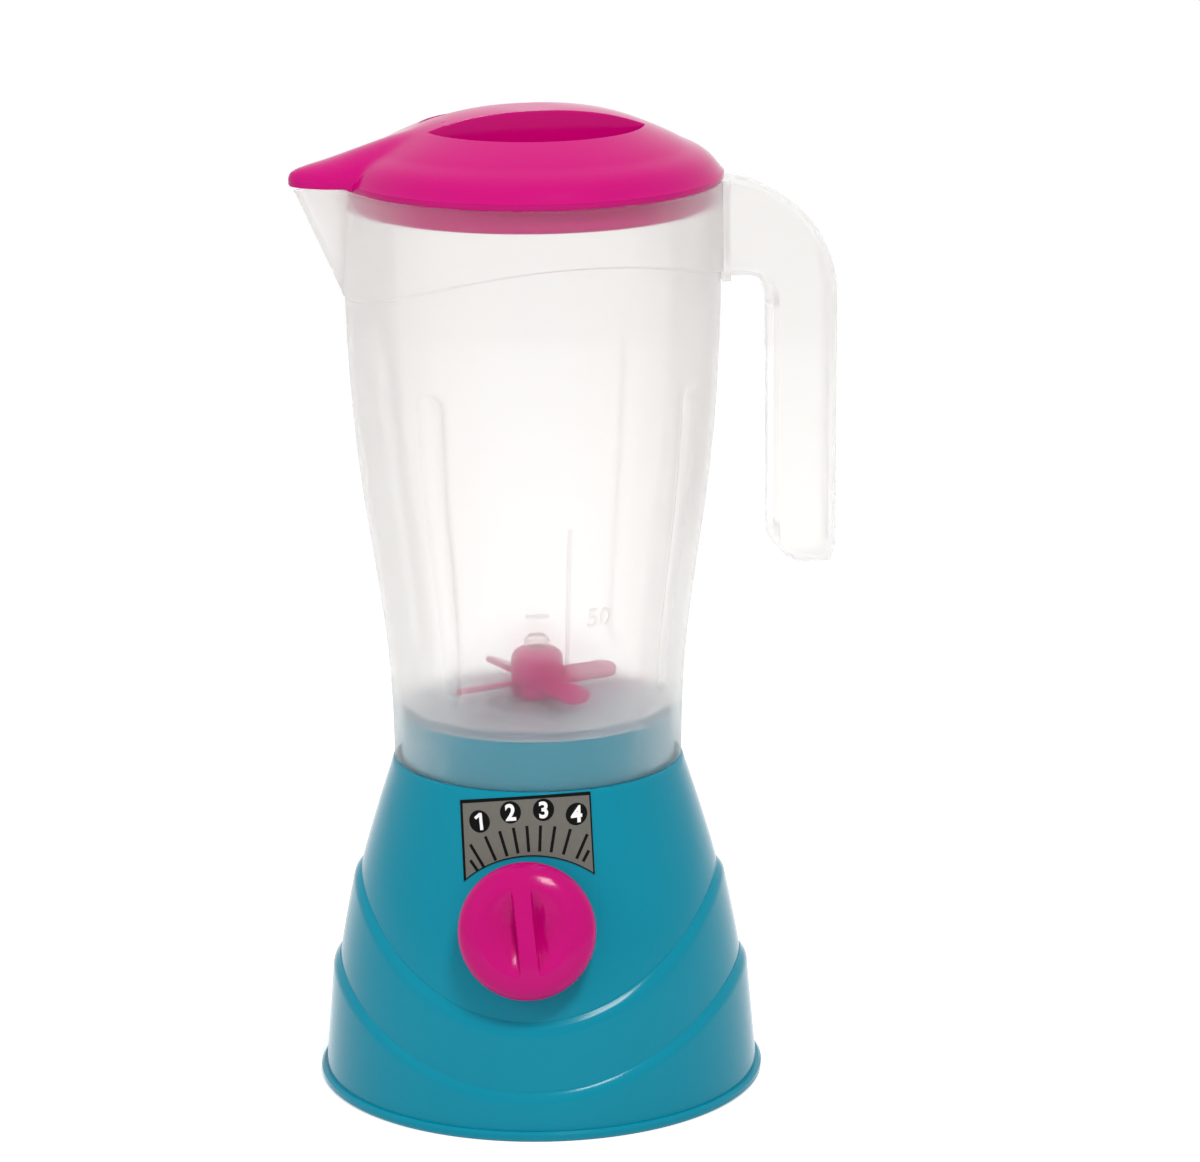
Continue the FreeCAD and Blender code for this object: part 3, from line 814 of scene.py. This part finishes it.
def jug_skin():
    # Fine columns of faces at the spout's tip, wider ones round the rest
    tip = np.radians(np.linspace(-14, 14, 141))
    rest = np.linspace(tip[-1], 2 * math.pi + tip[0], 700)[1:-1]
    angles = np.concatenate([tip, rest]) + math.pi

    # The stub, the floor and the inner wall up to the rim
    neck_z = hub_top_z + 0.15
    head_low_z = hub_top_z + 0.5
    stub = [(0, stub_top_z), (stub_r - 0.5, stub_top_z - 0.2), (stub_head_r, stub_top_z - 1.2)]
    stub += [(stub_head_r, head_low_z), (stub_r, neck_z)]
    stub += [(stub_r, floor_z + stub_foot), (stub_r + stub_foot, floor_z), (12.0, floor_z), (22.0, floor_z)]
    corner_r = float(wall_radius(floor_z)) - jug_wall - floor_corner
    stub += arc_spots(corner_r, floor_z + floor_corner, floor_corner, -90, 0, 6)
    rows = lathe(stub, angles)
    low_part = np.linspace(floor_z + 3, fine_low_z, 4)
    fluted_part = np.linspace(fine_low_z + 1, fine_top_z - 1, 90)
    top_part = np.linspace(fine_top_z + 1, rim_z - rim_round, 36)
    for z in np.concatenate([low_part, fluted_part, top_part]):
        rows.append(ring(inner_radius(angles, z), angles, z))

    # The rim, rounded from the inner to the outer wall
    rim_in = inner_radius(angles, rim_z)
    rim_out = outer_radius(angles, rim_z, 1)
    for a in np.linspace(0, math.pi, 7):
        r = (rim_in + rim_out) / 2 - (rim_out - rim_in) / 2 * math.cos(a)
        rows.append(ring(r, angles, rim_z - rim_round + rim_round * math.sin(a)))

    # The outer wall: down the band, over its step, and past the flutes to the skirt
    arch = arc_height(band_arch)(band_r * np.cos(angles))
    band_top, band_low = arch + band_soft, arch - band_soft
    for t in np.linspace(0, 1, 32)[1:]:
        z = rim_z - rim_round + (band_top - rim_z + rim_round) * t
        rows.append(ring(outer_radius(angles, z, 1), angles, z))
    for t in (0.25, 0.5, 0.75, 1):
        z = band_top + (band_low - band_top) * t
        rows.append(ring(outer_radius(angles, z, 1 - smooth_step(t)), angles, z))
    for t in np.linspace(0, 1, 14)[1:]:
        z = band_low + (fine_top_z - band_low) * t
        rows.append(ring(outer_radius(angles, z, 0), angles, z))
    fluted_part = np.linspace(fine_top_z - 1, fine_low_z, 110)
    low_part = np.linspace(fine_low_z - 1, skirt_z + edge_soft, 14)
    for z in np.concatenate([fluted_part, low_part]):
        rows.append(ring(outer_radius(angles, z, 0), angles, z))

    # The skirt's edge and the recess that sits over the base's collar
    recess_r = skirt_r - jug_wall
    under_z = floor_z - floor_t
    under = [(skirt_r - edge_soft, skirt_z), (recess_r, skirt_z)]
    under += [(r, under_z) for r in (recess_r, 14.0, 0)]
    rows += lathe(under, angles)
    skin = Skin().grid(rows, closed=True).place(jug_pose)
    jug = skin.piece("jug_skin", "jug", milky, "clear_plastic", replaces=["jug_shell"])
    # The floor's faces take the copy with the painted blue-grey cast and painted lightness
    jug.data.materials.append(milky_floor_painted_cast)
    for face in jug.data.polygons:
        spot = face.center / mm
        in_floor = abs(spot.z - floor_z + floor_t / 2) < floor_t / 2 + 0.1
        face.material_index = int(in_floor and math.hypot(spot.x, spot.y) < recess_r)


def on_jug(across, z, lift):
    """A spot of the jug's front wall: distance round the wall from its centre line, and height."""
    radius = float(wall_radius(z)) + lift
    angle = across / radius + jug_turn
    return (radius * math.sin(angle), -radius * math.cos(angle), z)


def box_grid(left, right, low, top):
    u, v = np.meshgrid(np.linspace(left, right, 8), np.linspace(low, top, 30), indexing="ij")
    return np.stack([u, v], axis=2)


def jug_marks():
    """The moulded level mark on the front wall: an upright bar, a dash and its number."""
    marks = Skin()
    for box in (mark_bar, mark_dash):
        marks.join(slab(box_grid(*box), -mark_root, mark_relief))
    number = text_skin("50", mark_number_h, 0.02, mark_number_t)
    marks.join(number.place(Matrix.Translation(mark_number_spot)))
    marks.bend(on_jug).piece("jug_level_mark", "jug", milky, "clear_plastic")


# Rotor


def squared(value, power):
    """Draws a cosine or sine out towards its ends, which squares off the oval it draws."""
    return np.sign(value) * np.abs(value) ** power


def blade_skin(turn):
    """One blade, a flat paddle with a round tip and soft edges, pitched about its length."""
    section = np.linspace(0, 2 * math.pi, 40, endpoint=False)
    rows = []
    for t in np.linspace(0, 1, 40):
        x = blade_root + (blade_tip_r - blade_root) * math.sin(t * math.pi / 2)
        into_tip = max(0.0, (x - (blade_tip_r - blade_half_w)) / blade_half_w)
        widening = smooth_step((x - blade_root) / blade_widening)
        half = blade_root_half_w + (blade_half_w - blade_root_half_w) * widening
        half = half * math.sqrt(max(1 - into_tip ** 2, 1e-4))
        thick = blade_t / 2 * min(1.0, half / blade_thin_half_w)
        y = half * squared(np.cos(section), 0.4)
        z = thick * squared(np.sin(section), 0.7)
        rows.append(np.stack([np.full_like(y, x), y, z], axis=1))
    ends = [np.repeat([row.mean(axis=0)], len(section), axis=0) for row in (rows[0], rows[-1])]
    rows = [ends[0]] + rows + [ends[1]]
    swing = jug_pose @ Matrix.Rotation(turn, 4, "Z")
    pitch = Matrix.Translation((0, 0, blade_z)) @ Matrix.Rotation(blade_pitch, 4, "X")
    return Skin().grid(rows, closed=True).place(swing @ pitch)


def blade_rotor():
    angles = np.linspace(0, 2 * math.pi, 96, endpoint=False)
    bore = stub_r + hub_play
    outline = [(bore, hub_low_z), (hub_r - hub_foot, hub_low_z)]
    outline += arc_spots(hub_r - hub_foot, hub_low_z + hub_foot, hub_foot, -90, 0, 7)[1:]
    outline += [(hub_r, hub_top_z - hub_shoulder - 2)]
    outline += arc_spots(hub_r - hub_shoulder, hub_top_z - hub_shoulder, hub_shoulder, 0, 90, 12)
    outline += [(bore, hub_top_z), (bore, hub_low_z)]
    hub = Skin().grid(lathe(outline, angles), closed=True)
    hub.piece("rotor_hub", "rotor", magenta, "accent_plastic", replaces=["blade_rotor"])
    for i in range(blade_count):
        blade = blade_skin(blade_turn + i * 2 * math.pi / blade_count)
        blade.piece("rotor_blade_" + str(i + 1), "rotor", magenta, "accent_plastic")


# Lid

dome_height = smooth_curve(dome)
ridge_height = smooth_curve(beak_ridge)


def beak_half(reach):
    """The beak's half width at a distance out from the lid's axis."""
    out = np.clip((reach - beak_root) / (beak_tip - beak_root), 0, 1)
    return beak_half_w * np.sqrt(1 - out ** beak_curl) + beak_flare * np.maximum(beak_root - reach, 0)


def lid_top(x, y):
    """The lid's outer face: the dome, and the beak's ridge that grows out of it."""
    r = np.hypot(x, y)
    round_top = dome_height(r) - 1.5 * np.maximum(r - lid_r, 0)
    reach = np.clip(-x, 0, beak_tip)
    side = np.clip(1 - (y / np.maximum(beak_half(reach), 0.4)) ** 2, 0, 1)
    low = rim_z + beak_rise
    bill = low + (ridge_height(reach) - low) * np.sqrt(side)
    bill = np.where(-x > beak_start, bill, low)
    return smooth_max(round_top, bill, beak_blend)


def lid_edge(angles):
    """The lid's outline seen from above: a circle that runs out into the beak."""
    reach = np.linspace(beak_root, beak_tip, 400)
    rays = np.arctan2(beak_half(reach), reach)
    off = from_spout(angles)
    beak_r = np.interp(off, rays[::-1], np.hypot(reach, beak_half(reach))[::-1])
    return np.where(off < rays[0], np.maximum(beak_r, lid_r), lid_r)


def well_floor(x, y):
    return np.full_like(np.asarray(x, float), well_floor_z)


def lid_skin():
    skin = Skin()
    angles = barred_wells(skin, well_r, bar_half_w, lid_top, well_floor, well_wall, (160, 60, 72))
    edge = lid_edge(angles)
    beak_share = smooth_step((edge - lid_r) / 2)
    rows = []
    for t in np.linspace(0, 1, 60):
        r = well_r + (edge - well_r) * math.sin(t * math.pi / 2)
        rows.append(ring(r, angles, lid_top(r * np.cos(angles), r * np.sin(angles))))

    # The edge, which lies on the jug's rim and stands clear of it under the beak
    low_z = rim_z + beak_rise * beak_share
    top_z = rows[-1][:, 2]
    rows.append(ring(edge, angles, low_z + (top_z - low_z) * 0.4))
    rows.append(ring(edge - edge_soft_mid, angles, low_z + edge_soft_mid))
    rows.append(ring(edge - edge_soft, angles, low_z))
    rows.append(ring(plug_r + 1.0, angles, low_z))

    # The plug ring and the underside
    plug_in_r = plug_r - plug_t
    well_out_r = well_r + lid_wall
    well_under_z = well_floor_z - lid_wall
    plug = [(plug_r, rim_z), (plug_r, plug_low_z + 1), (plug_r - 0.15, plug_low_z + edge_soft)]
    plug += [(plug_r - edge_soft, plug_low_z), (plug_in_r + 0.2, plug_low_z), (plug_in_r, plug_low_z + 0.2)]
    plug += [(r, dome_height(r) - lid_wall) for r in (plug_in_r, 33.5, 30.0, 27.0, well_out_r)]
    plug += [(r, well_under_z) for r in (well_out_r, 10.0, 0)]
    rows += lathe(plug, angles)
    skin.grid(rows, closed=True).place(jug_pose)
    skin.piece("lid_skin", "lid", magenta, "accent_plastic", replaces=["lid"])


# Nodes that stay as they are packed


def dress_nodes():
    finish = {
        "base_plate": teal,
        "base_screws": zinc,
        "click_wheel": inner_white,
        "click_spring": inner_white,
        "knob_screw": zinc,
        "jug_handle": milky,
    }
    for name, material in finish.items():
        node = nodes[name]
        node.data.materials.clear()
        node.data.materials.append(material)


# Floor, lights and camera


def seen_as_background(tree):
    """One for a ray from the camera, a mirror or clear plastic, and nought for the light on the object."""
    path = tree.nodes.new("ShaderNodeLightPath")
    seen = path.outputs["Is Camera Ray"]
    for other in ("Is Glossy Ray", "Is Transmission Ray"):
        either = tree.nodes.new("ShaderNodeMath")
        either.operation = "MAXIMUM"
        tree.links.new(seen, either.inputs[0])
        tree.links.new(path.outputs[other], either.inputs[1])
        seen = either.outputs["Value"]
    return seen


def white_floor(half_m, added):
    """A pale floor that looks white away from the object and keeps the shadow beside it."""
    corners = [(-half_m, -half_m, 0), (half_m, -half_m, 0), (half_m, half_m, 0), (-half_m, half_m, 0)]
    mesh = bpy.data.meshes.new("floor")
    mesh.from_pydata(corners, [], [(0, 1, 2, 3)])
    floor = bpy.data.objects.new("floor", mesh)
    bpy.context.scene.collection.objects.link(floor)
    material, tree, shader = new_material("floor_white", (0.85, 0.85, 0.85), 0.6, Specular_IOR_Level=0)
    shader.inputs["Emission Color"].default_value = (1, 1, 1, 1)
    level = tree.nodes.new("ShaderNodeMath")
    level.operation = "MULTIPLY"
    level.inputs[1].default_value = added
    tree.links.new(seen_as_background(tree), level.inputs[0])
    tree.links.new(level.outputs["Value"], shader.inputs["Emission Strength"])
    floor.data.materials.append(material)


def white_world(ambient):
    """A world that looks white and lights the object at the ambient level."""
    world = bpy.data.worlds.new("world")
    bpy.context.scene.world = world
    world.use_nodes = True
    tree = world.node_tree
    backdrop = tree.nodes["Background"]
    backdrop.inputs["Color"].default_value = (1, 1, 1, 1)
    level = tree.nodes.new("ShaderNodeMapRange")
    level.inputs["To Min"].default_value = ambient
    level.inputs["To Max"].default_value = 1.0
    tree.links.new(seen_as_background(tree), level.inputs["Value"])
    tree.links.new(level.outputs["Result"], backdrop.inputs["Strength"])


def softbox(name, place, aim, width, height, watts, mirrored=True):
    """A rectangular lamp. One that isn't mirrored leaves no highlight on the plastic."""
    light = bpy.data.lights.new(name, "AREA")
    light.shape = "RECTANGLE"
    light.size = width
    light.size_y = height
    light.energy = watts
    lamp = bpy.data.objects.new(name, light)
    lamp.location = place
    lamp.visible_glossy = mirrored
    lamp.rotation_euler = (Vector(aim) - Vector(place)).to_track_quat("-Z", "Y").to_euler()
    bpy.context.scene.collection.objects.link(lamp)


def photo_camera():
    """The fitted viewpoint: distance, height and sideways place in the base's frame, in metres."""
    turn = math.radians(3.0)
    back, side, up = 0.933, 0.0129, 0.3411
    down_tilt = math.radians(14.30)
    roll = -0.008
    data = bpy.data.cameras.new("camera")
    data.sensor_width = 36.0
    data.lens = 142.8
    data.clip_start = 0.05
    camera = bpy.data.objects.new("camera", data)
    spin = Matrix.Rotation(turn, 4, "Z")
    look = Matrix.Rotation(math.pi / 2 - down_tilt, 4, "X")
    camera.matrix_world = spin @ Matrix.Translation((side, -back, up)) @ look @ Matrix.Rotation(roll, 4, "Z")
    bpy.context.scene.collection.objects.link(camera)
    bpy.context.scene.camera = camera


housing_skin()
dial_label()
control_knob()
jug_skin()
jug_marks()
blade_rotor()
lid_skin()
dress_nodes()
white_floor(half_m=0.75, added=0.5)
white_world(ambient=0.42)
middle = (0, 0, 0.1)
softbox("key", (0.25, -0.62, 1.0), middle, width=0.24, height=0.24, watts=7.0)
softbox("fill", (-0.8, -0.6, 0.45), middle, width=0.5, height=0.8, watts=2.2, mirrored=False)
softbox("top", (0, 0.3, 1.1), middle, width=0.8, height=0.8, watts=3.0, mirrored=False)
photo_camera()
bpy.context.scene.view_settings.view_transform = "Standard"
